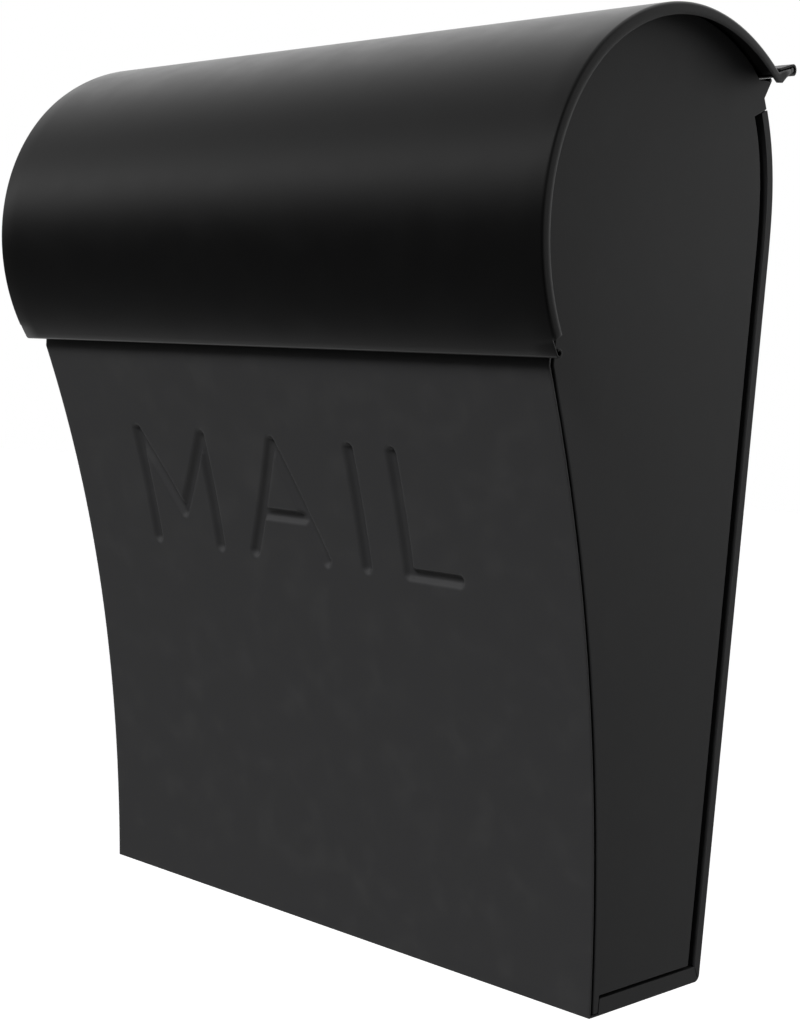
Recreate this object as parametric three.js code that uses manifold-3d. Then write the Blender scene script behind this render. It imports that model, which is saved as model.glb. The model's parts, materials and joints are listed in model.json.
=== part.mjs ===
// Wall mounted mailbox in folded sheet steel: a tall letter compartment with a
// concave front, closed by a drum shaped lid on a continuous hinge at the back.
// Millimetres, +X to the right seen from the front, the front faces -Y, +Z up.
// Heights here count from the bottom of the box; the finished group is lowered
// so that its origin lies on the wall face, where the wall holds it.

import * as THREE from 'three';
import { mergeVertices } from 'three/addons/utils/BufferGeometryUtils.js';
import Module from 'manifold-3d';

const wasm = await Module();
wasm.setup();

// ---- Driving dimensions ----------------------------------------------------

const SHEET = 0.8; // steel sheet
const GAP = 0.3; // clearance between pieces that touch
const BODY_HALF = 150; // half width over the side panels
const LID_HALF = 159; // half width over the lid's end lips
const ORIGIN_HEIGHT = 180; // the wall face's reference point above the bottom

const FRONT_KNEE = 255; // height over which the front's curve is laid out
const FRONT_CURVE = [-79.6, -86.2, -102.1, -141.4]; // depths of its four control points
const FRONT_BEND = 253; // above this the front stands upright, behind the lid's edge
const FRONT_NARROW = 256.5; // above this the front panel passes between the sides
const FRONT_TOP = 263;
const FRONT_HEM = 9; // strip folded inwards along the top edge
const HEM_CLEARANCE = 2; // the sides' turned front edges end this far below it
const FRONT_STEPS = 20; // along the curve
const FRONT_FOOT = 12; // flange of the bottom that stands behind the front panel
const FRONT_SEAM = 1.8; // shadow gap between the front panel and the side panels

const DRUM_Y = -78.6; // centre of the lid's round
const DRUM_Z = 305.5;
const DRUM_RADIUS = 83.6; // outer face of the lid
const DRUM_CROWN = 50; // degrees: behind this the round flattens
const DRUM_FLATTEN = 6.05; // growth of the radius there, mm per radian squared
const LID_FRONT = -36; // degrees below the centre: front edge of the lid
const LID_REAR = 128.5; // degrees: root of the hinge flap
const LID_STEPS = 48;
const LID_LIP = 4.6; // depth of the end lips, which stop a step short of the rolled edge
const LIP_CORNER = [-20.2, 375.9]; // rear corner of the lips
const BEAD_RADIUS = 1.7; // rolled front edge
const BEAD_START = 285; // degrees of roll, from its free end
const BEAD_END = 24; // to just short of the lid's outer face
const BEAD_STEPS = 11;

const HINGE_Y = -8.1; // hinge axis
const HINGE_Z = 382.8;
const KNUCKLE_RADIUS = 2.3;
const KNUCKLE_COUNT = 9;
const KNUCKLE_WRAP = 285; // degrees of roll round the pin
const HINGE_HALF = 158.4;
const PIN_RADIUS = 1.2;
const PIN_HALF = 157.8;
const LEAF = 0.8; // thickness of the hinge leaves
const LID_LEAF_ANGLE = 200.5; // degrees from +Y, anticlockwise towards +Z
const LID_LEAF_LENGTH = 10.2;
const BODY_LEAF_ANGLE = 236.8;
const BODY_LEAF_LENGTH = 9;
const BODY_LEAF_HALF = 148.4;
const FLAP_START = 3; // the sheets under the leaves keep this far from the axis

const NOTCH_Y = -14.2; // foot of the slope that carries the body's leaf
const NOTCH_Z = 371;
const RECESS_START = 303; // where the back leaves the wall to reach the notch
const RECESS_STEPS = 16;
const RECESS_STEP = (NOTCH_Z - RECESS_START) / RECESS_STEPS;
const SIDE_CLEARANCE = 0.5; // between the lid and the side panels' round
const SIDE_SHOULDER = 125; // degrees: where the side panels leave the round
const SIDE_STEPS = 32;
const SIDE_DIP = [-19.6, 377.5]; // passes under the root of the lid's flap
const SIDE_TIP = [-9.9, 378.5];

const BACK_RIM = 4.2; // width of the side rims along the back
const BOTTOM_RIM = 7; // and along the bottom
const BACK_GROOVE = 5.4; // shadow gap between the back rims and the side panels
const BOTTOM_GROOVE = 1.4;
const RIM_TOP = NOTCH_Z - RECESS_STEP;
const RIM_FRONT = 6; // the bottom rims stop this far behind the front face
const RIM_STEP = 3.6; // the laps behind the rims are joggled inwards this much
const LAP = 9; // width of the laps and of the turned front edges
const CORNER = 3; // outer bend between back and bottom

const RIVET_COUNT = 5;
const RIVET_SIDES = 12;
const RIVET_PITCH = 60;
const RIVET_RADIUS = 1.5;
const RIVET_HEAD = 2.7;
const RIVET_DOME = 0.9;
const RIVET_PLACE = 6; // distance of the rivets from the hinge axis

const SCREW_X = 100;
const SCREW_LOW = 60;
const SCREW_HIGH = 290;
const SCREW_HOLE = 3;
const KEYHOLE = 5.5;
const KEYHOLE_DROP = 9;
const BORE_REACH = 2; // the drills reach this far to each side of the wall face
const BORE_SIDES = 20;

const { degToRad, radToDeg } = THREE.MathUtils;

// ---- Solids ------------------------------------------------------------------

function toSolid(geometry) {
  geometry.deleteAttribute('normal');
  geometry.deleteAttribute('uv');
  const merged = mergeVertices(geometry, 1e-5);
  return new wasm.Manifold(new wasm.Mesh({
    numProp: 3,
    vertProperties: new Float32Array(merged.attributes.position.array),
    triVerts: new Uint32Array(merged.index.array),
  }));
}

function toMesh(name, solid, material) {
  const { vertProperties, triVerts } = solid.getMesh();
  const geometry = new THREE.BufferGeometry();
  geometry.setAttribute('position', new THREE.BufferAttribute(vertProperties, 3));
  geometry.setIndex(new THREE.BufferAttribute(triVerts, 1));
  geometry.computeVertexNormals();
  const mesh = new THREE.Mesh(geometry, material);
  mesh.name = name;
  return mesh;
}

function join(solids) {
  return solids.reduce((whole, piece) => whole.add(piece));
}

// An outline in the plane of depth and height, extruded across the box.
function across(outline, x0, x1) {
  const shape = new THREE.Shape(outline.map(([y, z]) => new THREE.Vector2(y, z)));
  const geometry = new THREE.ExtrudeGeometry(shape, { depth: x1 - x0, bevelEnabled: false });
  geometry.applyMatrix4(new THREE.Matrix4().makeBasis(
    new THREE.Vector3(0, 1, 0),
    new THREE.Vector3(0, 0, 1),
    new THREE.Vector3(1, 0, 0),
  ));
  geometry.translate(x0, 0, 0);
  return toSolid(geometry);
}

// The same between two distances from the middle, on the right (1) or left (-1).
function onSide(side, outline, inner, outer) {
  return side > 0 ? across(outline, inner, outer) : across(outline, -outer, -inner);
}

// ---- Lines in the plane of depth and height ------------------------------------
// Every line runs up the front, over the top and down the back, or forwards along
// the bottom, so that the inside of the box lies on its right.

function steps(from, to, count, point) {
  return Array.from({ length: count + 1 }, (_, i) => point(from + (to - from) * i / count));
}

function frontDepth(z) {
  const t = Math.min(z, FRONT_BEND) / FRONT_KNEE;
  const u = 1 - t;
  const [a, b, c, d] = FRONT_CURVE;
  return a * u ** 3 + 3 * b * t * u ** 2 + 3 * c * t ** 2 * u + d * t ** 3;
}

function frontLine(z0, z1, count) {
  return steps(z0, z1, count, (z) => [frontDepth(z), z]);
}

// Degrees run from 0, facing the front, over 90, the top, to the back.
function drumLine(from, to, count) {
  return steps(from, to, count, (degrees) => {
    const angle = degToRad(degrees);
    const past = Math.max(0, angle - degToRad(DRUM_CROWN));
    const radius = DRUM_RADIUS + DRUM_FLATTEN * past ** 2;
    return [DRUM_Y - radius * Math.cos(angle), DRUM_Z + radius * Math.sin(angle)];
  });
}

function backDepth(z) {
  const past = Math.max(0, z - RECESS_START) / (NOTCH_Z - RECESS_START);
  return NOTCH_Y * past ** 3;
}

function backLine(z0, z1) {
  const end = Math.max(z1, RECESS_START);
  const count = Math.max(1, Math.round((z0 - end) / RECESS_STEP));
  const curved = steps(z0, end, count, (z) => [backDepth(z), z]);
  return z1 < RECESS_START ? [...curved, [0, z1]] : curved;
}

function cornerLine(from, to) {
  return steps(from, to, 4, (degrees) => {
    const angle = degToRad(degrees);
    return [-CORNER + CORNER * Math.cos(angle), CORNER - CORNER * Math.sin(angle)];
  });
}

// A line moved to its right, with mitred corners.
function inset(line, distance) {
  const turned = line.slice(1).map(([y, z], i) => {
    const [dy, dz] = [y - line[i][0], z - line[i][1]];
    const length = Math.hypot(dy, dz);
    return [dz / length, -dy / length];
  });
  return line.map(([y, z], i) => {
    const before = turned[Math.max(0, i - 1)];
    const after = turned[Math.min(turned.length - 1, i)];
    const sum = [before[0] + after[0], before[1] + after[1]];
    const scale = 2 * distance / (sum[0] ** 2 + sum[1] ** 2);
    return [y + sum[0] * scale, z + sum[1] * scale];
  });
}

// The outline of a sheet, or of a strip, that follows a line between two insets.
function band(line, outer = 0, inner = SHEET) {
  return [...inset(line, outer), ...inset(line, inner).reverse()];
}

// A point beside the hinge axis: a distance out at an angle, then to its right.
function fromHinge(degrees, distance, right) {
  const angle = degToRad(degrees);
  return [
    HINGE_Y + distance * Math.cos(angle) + right * Math.sin(angle),
    HINGE_Z + distance * Math.sin(angle) - right * Math.cos(angle),
  ];
}

// ---- Finishes -------------------------------------------------------------------

function coat(color, roughness) {
  return new THREE.MeshStandardMaterial({ color, roughness, metalness: 0 });
}

const bodyCoat = coat(0x1a1a1b, 0.45);
const lidCoat = coat(0x1c1c1d, 0.38);
const hingeCoat = coat(0x161617, 0.4);
const steel = new THREE.MeshStandardMaterial({ color: 0x8d8f92, roughness: 0.4, metalness: 1 });

// ---- Body shell: back and bottom in one bent sheet --------------------------------

const lapOuter = BODY_HALF - RIM_STEP - GAP;
const lapInner = lapOuter - SHEET;
const sheetEnd = BODY_HALF - SHEET;
const rimFront = frontDepth(0) + RIM_FRONT;

function keyhole(x) {
  const drill = (radius, z) => {
    const hole = new THREE.CylinderGeometry(radius, radius, 2 * BORE_REACH, BORE_SIDES);
    hole.translate(x, 0, z);
    return toSolid(hole);
  };
  const outline = [
    [-BORE_REACH, 0],
    [BORE_REACH, 0],
    [BORE_REACH, KEYHOLE_DROP],
    [-BORE_REACH, KEYHOLE_DROP],
  ];
  const slot = across(outline, -SCREW_HOLE, SCREW_HOLE);
  return join([
    drill(KEYHOLE, SCREW_HIGH - KEYHOLE_DROP),
    slot.translate([x, 0, SCREW_HIGH - KEYHOLE_DROP]),
    drill(SCREW_HOLE, SCREW_HIGH),
  ]);
}

function screwHole(x) {
  const hole = new THREE.CylinderGeometry(SCREW_HOLE, SCREW_HOLE, 2 * BORE_REACH, BORE_SIDES);
  hole.translate(x, 0, SCREW_LOW);
  return toSolid(hole);
}

// A side rim is folded forwards and up, then joggled inwards to lap the side panel.
function bodyRim(side) {
  const back = backLine(RIM_TOP, CORNER);
  const mitre = [-BACK_RIM, BOTTOM_RIM];
  const backRim = [
    ...back,
    ...cornerLine(20, 40),
    [mitre[0], mitre[1] + GAP],
    ...inset(backLine(RIM_TOP, BOTTOM_RIM + GAP), BACK_RIM).reverse().slice(1),
  ];
  const bottomRim = [
    ...cornerLine(48, 90),
    [rimFront, 0],
    [rimFront, BOTTOM_RIM],
    [mitre[0] - GAP, mitre[1]],
  ];
  const bottomStrip = [[mitre[0] - GAP, 0], [rimFront, 0]];
  const backStep = band(backLine(RIM_TOP, BOTTOM_RIM + GAP), BACK_RIM - SHEET, BACK_RIM);
  const bottomStep = band(bottomStrip, BOTTOM_RIM - SHEET, BOTTOM_RIM);
  const lapEnd = BACK_RIM + BACK_GROOVE + LAP;
  const backLap = band(backLine(RIM_TOP, BOTTOM_RIM + LAP + GAP), BACK_RIM - SHEET, lapEnd);
  const bottomLap = band(bottomStrip, BOTTOM_RIM - SHEET, BOTTOM_RIM + LAP);
  return join([
    onSide(side, backRim, sheetEnd, BODY_HALF),
    onSide(side, bottomRim, sheetEnd, BODY_HALF),
    onSide(side, backStep, lapInner, sheetEnd + GAP),
    onSide(side, bottomStep, lapInner, sheetEnd + GAP),
    onSide(side, backLap, lapInner, lapOuter),
    onSide(side, bottomLap, lapInner, lapOuter),
  ]);
}

function bodyShell() {
  const footY = frontDepth(0) + SHEET + GAP;
  const lower = [...cornerLine(15, 90), [footY, 0]];
  const slopeTop = fromHinge(BODY_LEAF_ANGLE, FLAP_START, LEAF + GAP - KNUCKLE_RADIUS);
  const middle = [slopeTop, ...backLine(NOTCH_Z, CORNER), ...lower];
  const edge = [...backLine(RIM_TOP, CORNER), ...lower];
  const foot = [[footY + LAP, 0], [footY, 0], ...inset(frontLine(4, FRONT_FOOT, 2), SHEET + GAP)];
  const footHalf = sheetEnd - LAP - GAP;
  const sheet = join([
    across(band(middle), GAP - sheetEnd, sheetEnd - GAP),
    onSide(1, band(edge), sheetEnd - GAP, BODY_HALF),
    onSide(-1, band(edge), sheetEnd - GAP, BODY_HALF),
    across(band(foot), -footHalf, footHalf),
    bodyRim(1),
    bodyRim(-1),
  ]);
  const holes = join([keyhole(SCREW_X), keyhole(-SCREW_X), screwHole(SCREW_X), screwHole(-SCREW_X)]);
  return sheet.subtract(holes).subtract(rivetHoles('body'));
}

// ---- Side panels --------------------------------------------------------------------

// A flat panel whose front, rear and bottom edges are turned inwards; the rear and
// bottom ones stand on the shell's laps.
function sidePanel(side) {
  const clear = SHEET + GAP;
  const stepZ = BOTTOM_RIM + BOTTOM_GROOVE;
  const rearInset = BACK_RIM + BACK_GROOVE;
  const behindFront = SHEET + FRONT_SEAM;
  const frontEdge = [...frontLine(0, FRONT_BEND, FRONT_STEPS), [frontDepth(FRONT_TOP), FRONT_TOP]];
  const front = inset(frontEdge, behindFront).slice(1);
  const frontFoot = [frontDepth(0) + behindFront, clear];
  const roundStart = -radToDeg(Math.asin((DRUM_Z - front.at(-1)[1]) / (DRUM_RADIUS - clear)));
  const round = inset(drumLine(roundStart, SIDE_SHOULDER, SIDE_STEPS), SHEET + SIDE_CLEARANCE);
  const upperBack = backLine(NOTCH_Z, RIM_TOP + GAP);
  const lowerBack = inset(backLine(RIM_TOP + GAP, stepZ), rearInset);
  const plate = [
    frontFoot,
    ...front,
    ...round,
    SIDE_DIP,
    SIDE_TIP,
    ...upperBack,
    ...lowerBack,
    [rimFront - GAP, stepZ],
    [rimFront - GAP, clear],
  ];
  const turnedLine = frontLine(clear, FRONT_TOP - FRONT_HEM - HEM_CLEARANCE, FRONT_STEPS);
  const turnedEdge = band(turnedLine, behindFront, behindFront + SHEET);
  const bottomEdge = [[-rearInset, stepZ], [rimFront + LAP, stepZ]];
  return join([
    onSide(side, plate, sheetEnd, BODY_HALF),
    onSide(side, turnedEdge, sheetEnd - LAP, sheetEnd + GAP),
    onSide(side, band(lowerBack, 0, SHEET), lapOuter + GAP, sheetEnd + GAP),
    onSide(side, band(bottomEdge, 0, SHEET), lapOuter + GAP, sheetEnd + GAP),
  ]);
}

// ---- Front panel ----------------------------------------------------------------------

function frontPanel() {
  const fold = SHEET + GAP / 2; // radius of the hem's fold
  const face = frontDepth(FRONT_TOP);
  const centreZ = FRONT_TOP - fold;
  const roll = steps(180, 0, 6, (degrees) => {
    const angle = degToRad(degrees);
    return [face + fold + fold * Math.cos(angle), centreZ + fold * Math.sin(angle)];
  });
  const lower = [...frontLine(0, FRONT_BEND, FRONT_STEPS), [face, FRONT_NARROW]];
  const upper = [[face, FRONT_NARROW - 2], ...roll, [face + 2 * fold, FRONT_TOP - FRONT_HEM]];
  const upperHalf = sheetEnd - 2 * GAP;
  return join([
    across(band(lower), -BODY_HALF, BODY_HALF),
    across(band(upper), -upperHalf, upperHalf),
  ]);
}

// ---- Lid --------------------------------------------------------------------------------

// The lid's outer face from the curled free end of its rolled front edge, over the
// round, to the end of the flap that lies under the hinge leaf.
function lidLine() {
  const [edge] = drumLine(LID_FRONT, LID_FRONT + 1, 1);
  const facing = degToRad(180 - LID_FRONT);
  const centre = [
    edge[0] - BEAD_RADIUS * Math.cos(facing),
    edge[1] - BEAD_RADIUS * Math.sin(facing),
  ];
  const bead = steps(BEAD_START, BEAD_END, BEAD_STEPS, (degrees) => [
    centre[0] + BEAD_RADIUS * Math.cos(facing + degToRad(degrees)),
    centre[1] + BEAD_RADIUS * Math.sin(facing + degToRad(degrees)),
  ]);
  const flapEnd = fromHinge(LID_LEAF_ANGLE, FLAP_START, KNUCKLE_RADIUS - LEAF - GAP);
  return [...bead, ...drumLine(LID_FRONT, LID_REAR, LID_STEPS), flapEnd];
}

function lid() {
  const flapEnd = fromHinge(LID_LEAF_ANGLE, FLAP_START, KNUCKLE_RADIUS - LEAF - GAP);
  const flapUnder = fromHinge(LID_LEAF_ANGLE, FLAP_START, -SHEET);
  const round = drumLine(LID_FRONT, LID_REAR, LID_STEPS).slice(1);
  const lip = [...round, flapEnd, flapUnder, LIP_CORNER, ...inset(round, LID_LIP).reverse()];
  return join([
    across(band(lidLine()), -LID_HALF, LID_HALF),
    onSide(1, lip, LID_HALF - SHEET, LID_HALF),
    onSide(-1, lip, LID_HALF - SHEET, LID_HALF),
  ]).subtract(rivetHoles('lid'));
}

// ---- Continuous hinge ----------------------------------------------------------------------

// Each leaf is a strip that rolls round the pin wherever it has a knuckle. The lid's
// leaf rolls down from the top of the pin, the body's leaf up from its wall side.
const leaves = {
  lid: { angle: LID_LEAF_ANGLE, roll: -1, length: LID_LEAF_LENGTH, half: HINGE_HALF, first: 0 },
  body: { angle: BODY_LEAF_ANGLE, roll: 1, length: BODY_LEAF_LENGTH, half: BODY_LEAF_HALF, first: 1 },
};

function hingeLeaf(name) {
  const { angle, roll, length, half, first } = leaves[name];
  const outer = -roll * KNUCKLE_RADIUS;
  const inner = -roll * (KNUCKLE_RADIUS - LEAF);
  const flatStart = KNUCKLE_RADIUS + GAP;
  const flat = [
    fromHinge(angle, flatStart, outer),
    fromHinge(angle, length, outer),
    fromHinge(angle, length, inner),
    fromHinge(angle, flatStart, inner),
  ];
  const arc = (radius) => steps(0, KNUCKLE_WRAP, 14, (degrees) => {
    const turned = degToRad(angle + roll * (90 + degrees));
    return [HINGE_Y + radius * Math.cos(turned), HINGE_Z + radius * Math.sin(turned)];
  });
  const curl = [
    fromHinge(angle, flatStart + GAP, inner),
    fromHinge(angle, flatStart + GAP, outer),
    ...arc(KNUCKLE_RADIUS),
    ...arc(KNUCKLE_RADIUS - LEAF).reverse(),
  ];
  const width = 2 * HINGE_HALF / KNUCKLE_COUNT;
  const knuckles = [];
  for (let i = first; i < KNUCKLE_COUNT; i += 2) {
    const x0 = -HINGE_HALF + i * width;
    const start = Math.max(-HINGE_HALF, x0 + GAP / 2);
    const end = Math.min(HINGE_HALF, x0 + width - GAP / 2);
    knuckles.push(across(curl, start, end));
  }
  return join([across(flat, -half, half), ...knuckles]).subtract(rivetHoles(name));
}

function hingePin() {
  const pin = new THREE.CylinderGeometry(PIN_RADIUS, PIN_RADIUS, 2 * PIN_HALF, 18);
  pin.rotateZ(Math.PI / 2);
  pin.translate(0, HINGE_Y, HINGE_Z);
  return toSolid(pin);
}

// ---- Rivets ------------------------------------------------------------------------------------

// A revolved shape on the outward normal of a leaf, its height counted from the
// level of the hinge axis.
function onLeaf(name, geometry, x) {
  const { angle, roll } = leaves[name];
  const normal = degToRad(angle + roll * 90);
  const place = new THREE.Matrix4().makeBasis(
    new THREE.Vector3(1, 0, 0),
    new THREE.Vector3(0, Math.cos(normal), Math.sin(normal)),
    new THREE.Vector3(0, -Math.sin(normal), Math.cos(normal)),
  );
  const [y, z] = fromHinge(angle, RIVET_PLACE, 0);
  place.setPosition(x, y, z);
  geometry.applyMatrix4(place);
  return toSolid(geometry);
}

function rivetX(index) {
  return (index - (RIVET_COUNT - 1) / 2) * RIVET_PITCH;
}

function rivetHoles(name) {
  const reach = 2 * KNUCKLE_RADIUS;
  const radius = RIVET_RADIUS + GAP;
  return join(Array.from({ length: RIVET_COUNT }, (_, i) => {
    const drill = new THREE.CylinderGeometry(radius, radius, reach, RIVET_SIDES);
    return onLeaf(name, drill.translate(0, reach / 2 - 1, 0), rivetX(i));
  }));
}

function rivet(name, index) {
  const under = KNUCKLE_RADIUS - LEAF - GAP - SHEET - GAP;
  const over = KNUCKLE_RADIUS + GAP;
  const profile = [
    [0, under - RIVET_DOME],
    [RIVET_RADIUS, under - RIVET_DOME],
    [RIVET_HEAD, under - 0.3],
    [RIVET_HEAD, under],
    [RIVET_RADIUS, under],
    [RIVET_RADIUS, over],
    [RIVET_HEAD, over],
    [RIVET_HEAD * 0.85, over + RIVET_DOME * 0.55],
    [RIVET_HEAD * 0.5, over + RIVET_DOME * 0.9],
    [0, over + RIVET_DOME],
  ].map(([radius, height]) => new THREE.Vector2(radius, height));
  return onLeaf(name, new THREE.LatheGeometry(profile, RIVET_SIDES), rivetX(index));
}

// ---- Assembly ------------------------------------------------------------------------------------

const body = new THREE.Group();
body.add(toMesh('back_and_bottom_shell', bodyShell(), bodyCoat));
body.add(toMesh('side_panel_right', sidePanel(1), bodyCoat));
body.add(toMesh('side_panel_left', sidePanel(-1), bodyCoat));
body.add(toMesh('front_panel', frontPanel(), bodyCoat));
body.add(toMesh('hinge_leaf_body', hingeLeaf('body'), hingeCoat));
body.add(toMesh('hinge_pin', hingePin(), steel));

const cover = new THREE.Group();
cover.add(toMesh('lid', lid(), lidCoat));
cover.add(toMesh('hinge_leaf_lid', hingeLeaf('lid'), hingeCoat));

for (let i = 0; i < RIVET_COUNT; i += 1) {
  body.add(toMesh(`rivet_body_${i + 1}`, rivet('body', i), hingeCoat));
  cover.add(toMesh(`rivet_lid_${i + 1}`, rivet('lid', i), hingeCoat));
}

const mailbox = new THREE.Group();
mailbox.add(body, cover);
mailbox.position.z = -ORIGIN_HEIGHT;

export default mailbox;
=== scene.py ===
import json
import math

import bmesh
import bpy
import numpy as np
from mathutils import Matrix, Vector


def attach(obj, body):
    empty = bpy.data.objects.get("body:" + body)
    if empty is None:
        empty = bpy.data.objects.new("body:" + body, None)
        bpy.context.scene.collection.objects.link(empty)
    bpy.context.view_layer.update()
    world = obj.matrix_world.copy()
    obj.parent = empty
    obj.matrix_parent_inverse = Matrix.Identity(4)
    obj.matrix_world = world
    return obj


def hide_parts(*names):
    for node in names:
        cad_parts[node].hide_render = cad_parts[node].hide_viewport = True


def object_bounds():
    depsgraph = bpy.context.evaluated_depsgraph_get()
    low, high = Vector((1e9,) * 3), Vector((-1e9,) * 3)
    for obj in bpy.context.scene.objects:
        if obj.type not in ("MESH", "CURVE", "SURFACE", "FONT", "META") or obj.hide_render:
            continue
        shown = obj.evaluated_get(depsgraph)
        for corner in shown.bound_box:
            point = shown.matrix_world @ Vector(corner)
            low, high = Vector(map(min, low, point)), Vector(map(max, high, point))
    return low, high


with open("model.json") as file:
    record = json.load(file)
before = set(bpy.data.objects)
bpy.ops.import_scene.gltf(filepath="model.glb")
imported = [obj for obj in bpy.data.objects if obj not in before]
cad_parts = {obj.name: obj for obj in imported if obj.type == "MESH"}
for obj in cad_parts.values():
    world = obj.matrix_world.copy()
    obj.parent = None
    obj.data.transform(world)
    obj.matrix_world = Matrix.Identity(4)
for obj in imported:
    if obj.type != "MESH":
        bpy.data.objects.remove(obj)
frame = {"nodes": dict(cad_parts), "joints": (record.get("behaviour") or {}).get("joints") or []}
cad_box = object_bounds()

scene = bpy.context.scene
scene.view_settings.view_transform = "Standard"

# ---- Camera --------------------------------------------------------------------------
# Seen from the front right and a little above the middle of the box. The lens is
# shifted so that the tall box fills an upright picture.
focal_length = 1691.95
picture_height = 1027
camera_data = bpy.data.cameras.new("camera")
camera_data.lens = camera_data.sensor_width * focal_length / picture_height
camera_data.shift_x = -0.0590
camera_data.shift_y = 0.1002
camera = bpy.data.objects.new("camera", camera_data)
scene.collection.objects.link(camera)
camera_place = (0.5254, -0.6180, 0.0460)
turned_left, tipped_down, rolled = 0.7061, 0.1058, 0.0792
camera.matrix_world = (
    Matrix.Translation(camera_place)
    @ Matrix.Rotation(turned_left, 4, "Z")
    @ Matrix.Rotation(math.pi / 2 - tipped_down, 4, "X")
    @ Matrix.Rotation(rolled, 4, "Z")
)
scene.camera = camera


# ---- Floor ---------------------------------------------------------------------------
# Pale painted concrete, as far below the box as a porch floor is when a letter box
# hangs at chest height.
class Level:
    """A number that varies over a surface: a socket with ordinary arithmetic."""

    def __init__(self, finish, socket):
        self.finish = finish
        self.socket = socket

    def math(self, operation, first, second=0.0):
        node = self.finish.add("ShaderNodeMath", {"operation": operation}, {0: first, 1: second})
        return Level(self.finish, node.outputs[0])

    def __add__(self, other):
        return self.math("ADD", self, other)

    __radd__ = __add__

    def __sub__(self, other):
        return self.math("SUBTRACT", self, other)

    def __rsub__(self, other):
        return self.math("SUBTRACT", other, self)

    def __mul__(self, other):
        return self.math("MULTIPLY", self, other)

    __rmul__ = __mul__


class Finish:
    """The node tree of a material or of the room, and the one way to add nodes to it."""

    def __init__(self, owner):
        self.owner = owner
        owner.use_nodes = True
        owner.node_tree.nodes.clear()

    def add(self, kind, settings, sockets):
        node = self.owner.node_tree.nodes.new(kind)
        for key, value in settings.items():
            if key == "stops":
                ramp = node.color_ramp.elements
                while len(ramp) < len(value):
                    ramp.new(0.5)
                for stop, (place, tone) in zip(ramp, value):
                    stop.position = place
                    stop.color = (tone, tone, tone, 1)
            else:
                setattr(node, key, value)
        for key, value in sockets.items():
            if isinstance(value, Level):
                value = value.socket
            if isinstance(value, bpy.types.NodeSocket):
                self.owner.node_tree.links.new(value, node.inputs[key])
            else:
                node.inputs[key].default_value = value
        return node

    def place(self):
        """Where a point of the piece is: its three coordinates in metres."""
        spot = self.add("ShaderNodeTexCoord", {}, {}).outputs["Object"]
        split = self.add("ShaderNodeSeparateXYZ", {}, {"Vector": spot})
        return [Level(self, split.outputs[axis]) for axis in "XYZ"]

    def noise(self, scale, detail):
        spot = self.add("ShaderNodeTexCoord", {}, {}).outputs["Object"]
        node = self.add("ShaderNodeTexNoise", {}, {"Vector": spot, "Scale": scale, "Detail": detail})
        return Level(self, node.outputs["Fac"])

    def between(self, level, low, high):
        """0 below low, 1 above high, and a soft step from one to the other."""
        step = {"interpolation_type": "SMOOTHSTEP"}
        node = self.add("ShaderNodeMapRange", step, {"Value": level, "From Min": low, "From Max": high})
        return Level(self, node.outputs["Result"])

    def blend(self, share, first, second):
        node = self.add("ShaderNodeMix", {"data_type": "RGBA"}, {0: share, 6: first, 7: second})
        return node.outputs[2]

    def surface(self, **sockets):
        named = {name.replace("_", " "): value for name, value in sockets.items()}
        shader = self.add("ShaderNodeBsdfPrincipled", {}, named)
        self.add("ShaderNodeOutputMaterial", {}, {"Surface": shader.outputs[0]})
        return self.owner


floor_half = 40
floor_z = -1.3
floor_mesh = bpy.data.meshes.new("floor")
floor_mesh.from_pydata(
    [(floor_half * x, floor_half * y, floor_z) for x, y in ((-1, -1), (1, -1), (1, 1), (-1, 1))],
    [],
    [(0, 1, 2, 3)],
)
floor = bpy.data.objects.new("floor", floor_mesh)
scene.collection.objects.link(floor)
floor_paint = Finish(bpy.data.materials.new("floor_paint"))
duller, paler = (0.88, 0.88, 0.88, 1), (0.94, 0.94, 0.94, 1)
floor_tone = floor_paint.blend(floor_paint.noise(3, 4), duller, paler)
floor_mesh.materials.append(
    floor_paint.surface(
        Base_Color=floor_tone,
        Roughness=0.8,
        Emission_Color=(1, 1, 1, 1),
        Emission_Strength=0.55,
    )
)
floor.visible_glossy = False
floor.visible_diffuse = False

# ---- Room light ----------------------------------------------------------------------
# A white room whose light runs in a band over the box, from behind, over the top, to
# the dim front: bright low behind, a soft panel high in front, little on the right.
room = Finish(bpy.data.worlds.new("room"))
scene.world = room.owner
heading = room.add("ShaderNodeTexCoord", {}, {}).outputs["Generated"]
split = room.add("ShaderNodeSeparateXYZ", {}, {"Vector": heading})
to_right, to_back, to_top = [Level(room, split.outputs[axis]) for axis in "XYZ"]
turn = to_top.math("ARCTAN2", to_top, to_back) * (0.5 / math.pi) + 0.5
# Degrees round from the horizon behind (0) over the top (90) to the horizon in front (180),
# and below the horizon as negative degrees, each with its brightness.
light_over_box = [
    (-180, 0.03),
    (-118, 0.10),
    (-100, 0.70),
    (-60, 0.70),
    (-30, 0.40),
    (0, 0.75),
    (8, 1.10),
    (28, 1.10),
    (60, 0.90),
    (88, 0.45),
    (112, 0.26),
    (128, 0.34),
    (146, 0.85),
    (160, 0.24),
    (172, 0.04),
    (180, 0.03),
]
stops = [((degrees + 180) / 360, tone) for degrees, tone in light_over_box]
band = room.add("ShaderNodeValToRGB", {"stops": stops}, {"Fac": turn})
dim_from, dim_full = 0.1, 0.6
dimmed = 0.75 * room.between(to_right, dim_from, dim_full)
glow = Level(room, band.outputs["Color"]) * (1 - dimmed)
seen = room.add("ShaderNodeLightPath", {}, {}).outputs["Is Camera Ray"]
shade = room.add("ShaderNodeMix", {"data_type": "FLOAT"}, {"Factor": seen, 2: glow, 3: 1.0})
sky = room.add("ShaderNodeBackground", {}, {"Color": (1, 1, 1, 1), "Strength": shade.outputs[0]})
room.add("ShaderNodeOutputWorld", {}, {"Surface": sky.outputs[0]})

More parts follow.
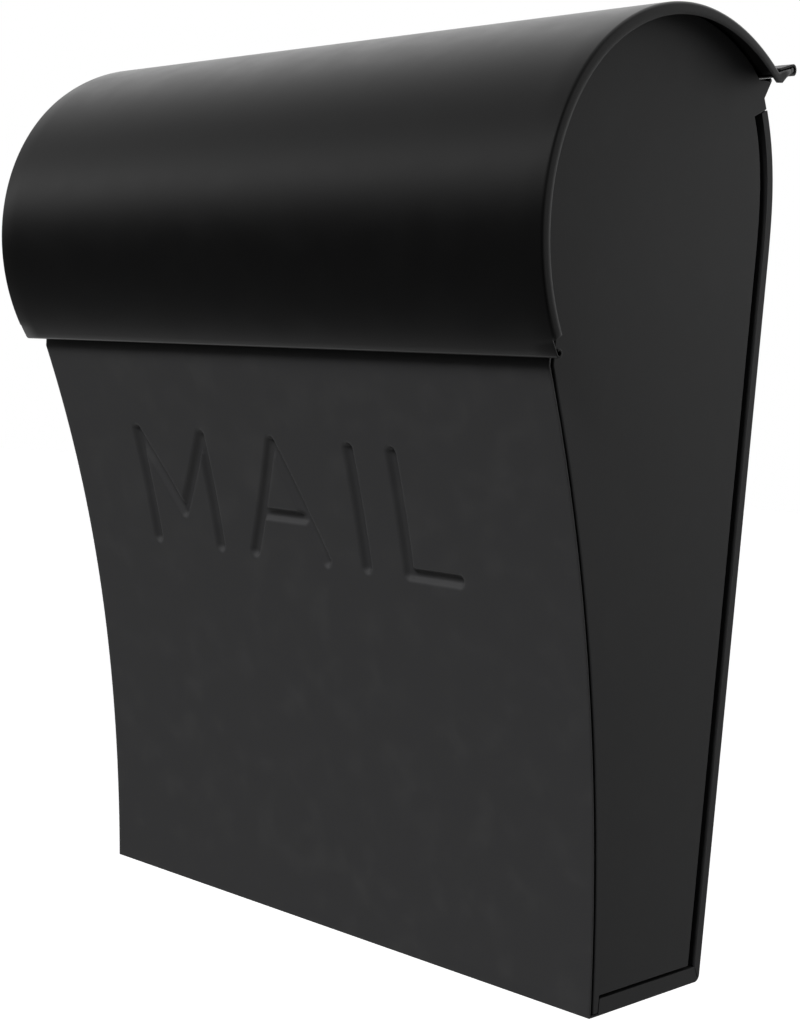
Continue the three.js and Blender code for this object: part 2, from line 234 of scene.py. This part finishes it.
key_data = bpy.data.lights.new("key", "AREA")
key_data.shape = "DISK"
key_data.size = 0.9
key_data.energy = 85
key_aim = Vector((0, -0.05, 0))
key = bpy.data.objects.new("key", key_data)
key.location = (0.3, -2.1, 1.7)
key.rotation_euler = (key_aim - key.location).to_track_quat("-Z", "Y").to_euler()
key.visible_glossy = False
scene.collection.objects.link(key)

# ---- Back and bottom shell -----------------------------------------------------------
# One steel sheet bent up at the rear bottom corner. Its sides are folded forwards and up
# into narrow rims, mitred at the corner, and go on inwards to laps for the side panels.
mm = 0.001
sheet = 0.8 * mm
peel_height = 0.08 * mm
peel_scale = 1500
grit_scale = 5200
sheet_scale = 9
patch_scale = 70


def powder_coat(name, tone, roughness, peel):
    """Oven-cured satin black: orange peel, a slightly uneven sheet, faint dust."""
    coat = Finish(bpy.data.materials.new(name))
    patches = coat.noise(patch_scale, 3)
    dust = coat.between(patches, 0.45, 0.80) * 0.18
    waves = {"Strength": 0.12, "Distance": 1.0 * mm, "Height": coat.noise(sheet_scale, 2)}
    uneven = coat.add("ShaderNodeBump", {}, waves)
    peel_bump = coat.add(
        "ShaderNodeBump",
        {},
        {
            "Strength": peel,
            "Distance": peel_height,
            "Height": coat.noise(peel_scale, 2) + 0.35 * coat.noise(grit_scale, 1),
            "Normal": uneven.outputs[0],
        },
    )
    clean, dusty = (tone, tone, tone * 1.03, 1), (tone * 2, tone * 2, tone * 1.95, 1)
    return coat.surface(
        Base_Color=coat.blend(dust, clean, dusty),
        Roughness=roughness + 0.10 * (patches - 0.5),
        Normal=peel_bump.outputs[0],
    )


def add_piece(name, mesh, material, body, slot, *nodes):
    piece = bpy.data.objects.new(name, mesh)
    scene.collection.objects.link(piece)
    mesh.materials.clear()
    mesh.materials.append(material)
    mesh.shade_smooth()
    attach(piece, body)
    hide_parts(*nodes)
    return piece


weld = 0.002 * mm
flat_angle = math.radians(0.3)
fold_angle = math.radians(40)
sharp_angle = math.radians(34)


def folded_sheet(name, node, bend, cut, material, body, slot):
    """A node's own shape with bends rounded on its outermost faces, and broken edges."""
    mesh = frame["nodes"][node].data.copy()
    shape = bmesh.new()
    shape.from_mesh(mesh)
    bmesh.ops.remove_doubles(shape, verts=shape.verts, dist=weld)
    bmesh.ops.dissolve_limit(shape, angle_limit=flat_angle, verts=shape.verts, edges=shape.edges)
    half = max(abs(vert.co.x) for vert in shape.verts)
    for width, outermost in ((bend, True), (cut, False)):
        edges = [
            edge
            for edge in shape.edges
            if len(edge.link_faces) == 2
            and edge.calc_face_angle(0) > fold_angle
            and not (outermost and any(abs(abs(vert.co.x) - half) > 0.01 * mm for vert in edge.verts))
        ]
        if width:
            bmesh.ops.bevel(
                shape,
                geom=edges,
                offset=width,
                offset_type="OFFSET",
                segments=3,
                profile=0.5,
                affect="EDGES",
                clamp_overlap=True,
            )
    shape.to_mesh(mesh)
    shape.free()
    for face in mesh.polygons:
        face.material_index = 0
    piece = add_piece(name, mesh, material, body, slot, node)
    mesh.set_sharp_from_angle(angle=sharp_angle)
    even = piece.modifiers.new("even", "WEIGHTED_NORMAL")
    even.keep_sharp = True


body_coat = powder_coat("body_coat", 0.030, 0.50, 0.35)
folded_sheet("shell", "back_and_bottom_shell", 0.6 * mm, 0.12 * mm, body_coat, "box", "body_coat")

# ---- Side panels ---------------------------------------------------------------------
# Flat sheets with their front, rear and bottom edges turned inwards. The rear and bottom
# ones stand back from the shell's rims, which leaves a deep shadow groove all along.
for side in ("right", "left"):
    folded_sheet(
        "side_" + side, "side_panel_" + side, 0.7 * mm, 0.3 * mm, body_coat, "box", "body_coat"
    )

# ---- Front panel ---------------------------------------------------------------------
# A hollow-curved sheet with a word pressed into it, one rounded groove for each stroke.
# Its top edge is folded inwards so that letters and fingers slide over it.
base_z = cad_box[0][2]
front_half = 150 * mm
knee = 255 * mm
upright_from = 253 * mm
narrow_from = 256.5 * mm
narrowing = 1.4 * mm
front_top = 263 * mm
fold = 0.95 * mm
hem = 9 * mm
control_depths = np.array([-79.6, -86.2, -102.1, -141.4]) * mm
word_left = -98 * mm
word_right = 89 * mm
word_low = 168.5 * mm
word_high = 217 * mm
groove_half = 3.3 * mm
groove_flat = 0.8 * mm
groove_depth = 2.2 * mm


def front_depth(height):
    t = min(height, upright_from) / knee
    u = 1 - t
    weights = np.array([u ** 3, 3 * t * u ** 2, 3 * t ** 2 * u, t ** 3])
    return float(weights @ control_depths)


# Each stroke: its left edge and width, and its corners as shares of width and height.
strokes = [
    (word_left, 44 * mm, [(0, 0), (0, 1), (0.5, 0.28), (1, 1), (1, 0)]),
    (-31 * mm, 45 * mm, [(0, 0), (0.5, 1), (1, 0)]),
    (-31 * mm, 45 * mm, [(0.18, 0.36), (0.82, 0.36)]),
    (38 * mm, 0 * mm, [(0, 0), (0, 1)]),
    (word_right - 27 * mm, 27 * mm, [(0, 1), (0, 0), (1, 0)]),
]


def pressing(x, z):
    """How far the sheet is pressed in at each place."""
    nearest = np.full(x.shape, 1.0)
    for left, width, corners in strokes:
        line = [(left + width * a, word_low + (word_high - word_low) * b) for a, b in corners]
        for (x0, z0), (x1, z1) in zip(line, line[1:]):
            run = np.array([x1 - x0, z1 - z0])
            along = np.clip(((x - x0) * run[0] + (z - z0) * run[1]) / (run @ run), 0, 1)
            nearest = np.minimum(nearest, np.hypot(x - x0 - along * run[0], z - z0 - along * run[1]))
    wall = np.clip((nearest - groove_flat) / (groove_half - groove_flat), 0, 1)
    return groove_depth * (0.5 + 0.5 * np.cos(math.pi * wall))


def spaced(start, end, step):
    """Even places from start up to, but not at, end."""
    return np.linspace(start, end, max(1, round((end - start) / step)) + 1)[:-1]


def inward(profile):
    """Unit normals of a line of (depth, height) points, towards the inside of the box."""
    tangent = np.gradient(profile, axis=0)
    tangent /= np.linalg.norm(tangent, axis=1)[:, None]
    return np.stack([tangent[:, 1], -tangent[:, 0]], axis=1)


def sheet_mesh(name, points, kept):
    """A mesh from a grid of points, with only the faces that kept allows."""
    rows, columns = points.shape[:2]
    numbers = np.arange(rows * columns).reshape(rows, columns).tolist()
    faces = [
        (numbers[row][col], numbers[row][col + 1], numbers[row + 1][col + 1], numbers[row + 1][col])
        for row in range(rows - 1)
        for col in range(columns - 1)
        if kept(row, col)
    ]
    mesh = bpy.data.meshes.new(name)
    mesh.from_pydata(points.reshape(-1, 3).tolist(), [], faces)
    shape = bmesh.new()
    shape.from_mesh(mesh)
    loose = [vert for vert in shape.verts if not vert.link_faces]
    bmesh.ops.delete(shape, geom=loose, context="VERTS")
    shape.to_mesh(mesh)
    shape.free()
    return mesh


cut_angle = math.radians(70)


def thicken(piece, edge_break):
    thick = piece.modifiers.new("thick", "SOLIDIFY")
    thick.thickness = sheet
    thick.offset = -1
    thick.use_even_offset = True
    broken = piece.modifiers.new("broken", "BEVEL")
    broken.width = edge_break
    broken.segments = 2
    broken.limit_method = "ANGLE"
    broken.angle_limit = cut_angle


fine = 0.68 * mm
coarse = 7 * mm
near_top = 3 * mm
margin = 4 * mm
columns = np.concatenate([
    [-front_half],
    spaced(narrowing - front_half, word_left - margin, coarse),
    spaced(word_left - margin, word_right + margin, fine),
    spaced(word_right + margin, front_half - narrowing, coarse),
    [front_half - narrowing, front_half],
])
heights = np.concatenate([
    spaced(0, word_low - margin, coarse),
    spaced(word_low - margin, word_high + margin, fine),
    spaced(word_high + margin, upright_from, near_top),
    [upright_from, narrow_from],
])
face = front_depth(front_top)
fold_points = 9
profile = [(front_depth(z), z) for z in heights]
for turned in np.linspace(math.pi, 0, fold_points):
    profile.append((face + fold + fold * math.cos(turned), front_top - fold + fold * math.sin(turned)))
profile += [(face + 2 * fold, front_top - hem / 2), (face + 2 * fold, front_top - hem)]
profile = np.array(profile)
normal = inward(profile)
grid_x, grid_z = np.meshgrid(columns, profile[:, 1])
pressed = pressing(grid_x, grid_z)
pressed[len(heights):] = 0
front_points = np.stack([
    grid_x,
    profile[:, :1] + normal[:, :1] * pressed,
    base_z + profile[:, 1:] + normal[:, 1:] * pressed,
], axis=2)
full_rows = len(heights) - 1
front_mesh = sheet_mesh(
    "front", front_points, lambda row, col: row < full_rows or 0 < col < len(columns) - 2
)
front = add_piece("front", front_mesh, body_coat, "box", "body_coat", "front_panel")
thicken(front, 0.2 * mm)

# ---- Lid -----------------------------------------------------------------------------
# One rolled sheet with a lip bent down all round each end, a rolled front edge to lift it
# by, and a narrow flap behind that lies under the hinge leaf.
drum_y = -78.6 * mm
drum_z = 305.5 * mm
drum_radius = 83.6 * mm
crown = math.radians(50)
flatten = 6.05 * mm
lid_front = math.radians(-36)
lid_rear = math.radians(128.5)
lid_half = 159 * mm
lip_depth = 4.6 * mm
lip_end_depth = 2.0 * mm
lip_bend = 1.3 * mm
bead_radius = 1.7 * mm
bead_from, bead_to = 285, 12
bead_points = 26
drum_points = 121
skin_columns = 33
flap_width = 3 * mm
hinge_y = frame["joints"][0]["pos_m"][1]
hinge_z = frame["joints"][0]["pos_m"][2] - base_z
knuckle_radius = 2.3 * mm
leaf = 0.8 * mm
gap = 0.3 * mm
lid_leaf_angle = math.radians(200.5)


def from_hinge(angle, distance, right):
    return (
        hinge_y + distance * math.cos(angle) + right * math.sin(angle),
        hinge_z + distance * math.sin(angle) - right * math.cos(angle),
    )


def drum(angle):
    radius = drum_radius + flatten * max(0, angle - crown) ** 2
    return drum_y - radius * math.cos(angle), drum_z + radius * math.sin(angle)


facing = math.pi - lid_front
edge_y, edge_z = drum(lid_front)
bead_y = edge_y - bead_radius * math.cos(facing)
bead_z = edge_z - bead_radius * math.sin(facing)
bead = [
    (bead_y + bead_radius * math.cos(facing + turned), bead_z + bead_radius * math.sin(facing + turned))
    for turned in np.radians(np.linspace(bead_from, bead_to, bead_points))
]
round_part = [drum(angle) for angle in np.linspace(lid_front, lid_rear, drum_points)]
flap_end = from_hinge(lid_leaf_angle, flap_width, knuckle_radius - leaf - gap)
flap = [tuple(np.array(round_part[-1]) * (1 - t) + np.array(flap_end) * t) for t in (0.15, 0.5, 1)]
lid_profile = np.array(bead + round_part + flap)
lid_normal = inward(lid_profile)
lip_start = len(bead) + 3
lip_depths = np.full(len(lid_profile), lip_depth)
lip_depths[-2:] = (0.5 * (lip_depth + lip_end_depth), lip_end_depth)
bend_turns = np.radians([0, 18, 36, 54, 72, 90])
skin_x = np.linspace(lip_bend - lid_half, lid_half - lip_bend, skin_columns)
lid_points = []
for (y, z), (in_y, in_z), depth in zip(lid_profile, lid_normal, lip_depths):
    right_end = [
        (lid_half - lip_bend + lip_bend * math.sin(t), lip_bend * (1 - math.cos(t))) for t in bend_turns[1:]
    ]
    right_end += [(lid_half, 0.5 * (lip_bend + depth)), (lid_half, depth)]
    left_end = [(-x, drop) for x, drop in reversed(right_end)]
    row = left_end + [(x, 0) for x in skin_x] + right_end
    lid_points.append([(x, y + in_y * drop, base_z + z + in_z * drop) for x, drop in row])
ends = len(bend_turns) + 1
lid_mesh = sheet_mesh(
    "lid_shell",
    np.array(lid_points),
    lambda row, col: row >= lip_start or ends <= col < ends + len(skin_x) - 1,
)
# The lid's coat has a far darker base tone than the body's: painted shade, as the lid carries the same
# satin black coat as the box.
lid_coat = powder_coat("lid_coat", 0.0022, 0.31, 0.22)
lid_shell = add_piece("lid_shell", lid_mesh, lid_coat, "lid", "lid_coat", "lid")
thicken(lid_shell, 0.15 * mm)

# ---- Hinge leaves --------------------------------------------------------------------
# A continuous hinge: two narrow steel strips, coated with the box, whose knuckles roll
# round one long pin and are rubbed bright where they turn on each other.
hinge_finish = Finish(bpy.data.materials.new("hinge_coat"))
_, depth, height = hinge_finish.place()
off_y = depth - hinge_y
off_z = height - (hinge_z + base_z)
squared = off_y * off_y + off_z * off_z
from_axis = squared.math("SQRT", squared)
on_knuckle = 1 - hinge_finish.between(from_axis, knuckle_radius, knuckle_radius + 0.15 * mm)
rub_scale = 420
rubbed = on_knuckle * hinge_finish.between(hinge_finish.noise(rub_scale, 4), 0.56, 0.70)
hinge_grain = {"Strength": 0.3, "Distance": peel_height, "Height": hinge_finish.noise(peel_scale, 2)}
hinge_peel = hinge_finish.add("ShaderNodeBump", {}, hinge_grain)
coated_tone, bare_tone = (0.012, 0.012, 0.012, 1), (0.16, 0.16, 0.165, 1)
hinge_coat = hinge_finish.surface(
    Base_Color=hinge_finish.blend(rubbed, coated_tone, bare_tone),
    Metallic=rubbed,
    Roughness=0.42 - 0.08 * rubbed,
    Normal=hinge_peel.outputs[0],
)
leaf_break = 0.1 * mm
folded_sheet("leaf_box", "hinge_leaf_body", 0, leaf_break, hinge_coat, "box", "hinge_coat")
folded_sheet("leaf_lid", "hinge_leaf_lid", 0, leaf_break, hinge_coat, "lid", "hinge_coat")

# ---- Hinge pin -----------------------------------------------------------------------
# A zinc plated steel wire as long as the hinge, with its ends cut and tumbled round.
pin_radius = 1.2 * mm
pin_half = 157.8 * mm
pin_chamfer = 0.25 * mm
pin_sides = 32


def turned_mesh(name, profile, sides, centre, axis, right):
    """A closed revolved mesh: profile is (radius, distance along axis) from end to end."""
    shape = bmesh.new()
    over = axis.cross(right)
    rings = []
    for radius, distance in profile:
        if radius == 0:
            rings.append([shape.verts.new(centre + axis * distance)] * sides)
            continue
        rings.append([
            shape.verts.new(
                centre + axis * distance
                + right * radius * math.cos(2 * math.pi * i / sides)
                + over * radius * math.sin(2 * math.pi * i / sides)
            )
            for i in range(sides)
        ])
    for lower, upper in zip(rings, rings[1:]):
        for i in range(sides):
            corners = [lower[i - 1], lower[i], upper[i], upper[i - 1]]
            shape.faces.new(list(dict.fromkeys(corners)))
    bmesh.ops.recalc_face_normals(shape, faces=shape.faces)
    mesh = bpy.data.meshes.new(name)
    shape.to_mesh(mesh)
    shape.free()
    return mesh


pin_mesh = turned_mesh(
    "pin",
    [
        (0, -pin_half),
        (pin_radius - pin_chamfer, -pin_half),
        (pin_radius, pin_chamfer - pin_half),
        (pin_radius, pin_half - pin_chamfer),
        (pin_radius - pin_chamfer, pin_half),
        (0, pin_half),
    ],
    pin_sides,
    Vector((0, hinge_y, hinge_z + base_z)),
    Vector((1, 0, 0)),
    Vector((0, 1, 0)),
)
zinc = Finish(bpy.data.materials.new("zinc_steel"))
dull = zinc.between(zinc.noise(300, 4), 0.40, 0.65)
draw_lines = {"Strength": 0.2, "Distance": 0.03 * mm, "Height": zinc.noise(2600, 2)}
drawn = zinc.add("ShaderNodeBump", {}, draw_lines)
bright_tone, dull_tone = (0.46, 0.47, 0.48, 1), (0.30, 0.30, 0.30, 1)
zinc_steel = zinc.surface(
    Base_Color=zinc.blend(dull, bright_tone, dull_tone),
    Metallic=1.0,
    Roughness=0.32 + 0.18 * dull,
    Normal=drawn.outputs[0],
)
add_piece("pin", pin_mesh, zinc_steel, "box", "zinc_steel", "hinge_pin")
turned_sharp = math.radians(40)
pin_mesh.set_sharp_from_angle(angle=turned_sharp)

# ---- Rivets --------------------------------------------------------------------------
# Five domed steel rivets through each leaf, set before the box is coated. The lid's show
# on top of its leaf, the box's on the wall side of theirs.
rivet_count = 5
rivet_pitch = 60 * mm
rivet_radius = 1.5 * mm
rivet_head = 2.7 * mm
rivet_dome = 0.9 * mm
rivet_tail = 0.9 * rivet_head
rivet_tail_edge = 0.5 * mm
rivet_place = 6 * mm
rivet_sides = 24
body_leaf_angle = math.radians(236.8)

row_tree = bpy.data.node_groups.new("rivet_row", "GeometryNodeTree")
row_tree.interface.new_socket("Rivet", in_out="INPUT", socket_type="NodeSocketGeometry")
row_tree.interface.new_socket("Count", in_out="INPUT", socket_type="NodeSocketInt")
row_tree.interface.new_socket("Pitch", in_out="INPUT", socket_type="NodeSocketFloat")
row_tree.interface.new_socket("Coat", in_out="INPUT", socket_type="NodeSocketMaterial")
row_tree.interface.new_socket("Row", in_out="OUTPUT", socket_type="NodeSocketGeometry")
given = row_tree.nodes.new("NodeGroupInput")
result = row_tree.nodes.new("NodeGroupOutput")
step = row_tree.nodes.new("ShaderNodeCombineXYZ")
line = row_tree.nodes.new("GeometryNodeMeshLine")
spread = row_tree.nodes.new("GeometryNodeInstanceOnPoints")
real = row_tree.nodes.new("GeometryNodeRealizeInstances")
coated = row_tree.nodes.new("GeometryNodeSetMaterial")
for source, target in (
    (given.outputs["Pitch"], step.inputs["X"]),
    (step.outputs[0], line.inputs["Offset"]),
    (given.outputs["Count"], line.inputs["Count"]),
    (line.outputs[0], spread.inputs["Points"]),
    (given.outputs["Rivet"], spread.inputs["Instance"]),
    (spread.outputs[0], real.inputs[0]),
    (real.outputs[0], coated.inputs["Geometry"]),
    (given.outputs["Coat"], coated.inputs["Material"]),
    (coated.outputs[0], result.inputs[0]),
):
    row_tree.links.new(source, target)
sockets = {item.name: item.identifier for item in row_tree.interface.items_tree}

for body, angle, roll in (("lid", lid_leaf_angle, -1), ("box", body_leaf_angle, 1)):
    out = angle + roll * math.pi / 2
    y, z = from_hinge(angle, rivet_place, 0)
    under = knuckle_radius - leaf - gap - sheet - gap
    over = knuckle_radius + gap / 2
    first_x = -rivet_pitch * (rivet_count - 1) / 2
    dome_turns = np.radians([0, 15, 32, 50, 70])
    dome = [(rivet_head * math.cos(t), over + rivet_dome * math.sin(t)) for t in dome_turns]
    one = turned_mesh(
        "one_rivet",
        [
            (0, under - rivet_dome),
            (rivet_radius, under - rivet_dome),
            (rivet_tail, under - rivet_tail_edge),
            (rivet_tail, under),
            (rivet_radius, under),
            (rivet_radius, over),
            *dome,
            (0, over + rivet_dome),
        ],
        rivet_sides,
        Vector((first_x, y, base_z + z)),
        Vector((0, math.cos(out), math.sin(out))),
        Vector((1, 0, 0)),
    )
    one.shade_smooth()
    maker = bpy.data.objects.new("rivet_maker", one)
    scene.collection.objects.link(maker)
    row = maker.modifiers.new("row", "NODES")
    row.node_group = row_tree
    row[sockets["Count"]] = rivet_count
    row[sockets["Pitch"]] = rivet_pitch
    row[sockets["Coat"]] = hinge_coat
    ready = maker.evaluated_get(bpy.context.evaluated_depsgraph_get())
    row_mesh = bpy.data.meshes.new_from_object(ready)
    bpy.data.objects.remove(maker)
    leaf_name = "body" if body == "box" else "lid"
    replaced = [f"rivet_{leaf_name}_{i + 1}" for i in range(rivet_count)]
    add_piece("rivets_" + body, row_mesh, hinge_coat, body, "hinge_coat", *replaced)
    row_mesh.set_sharp_from_angle(angle=turned_sharp)
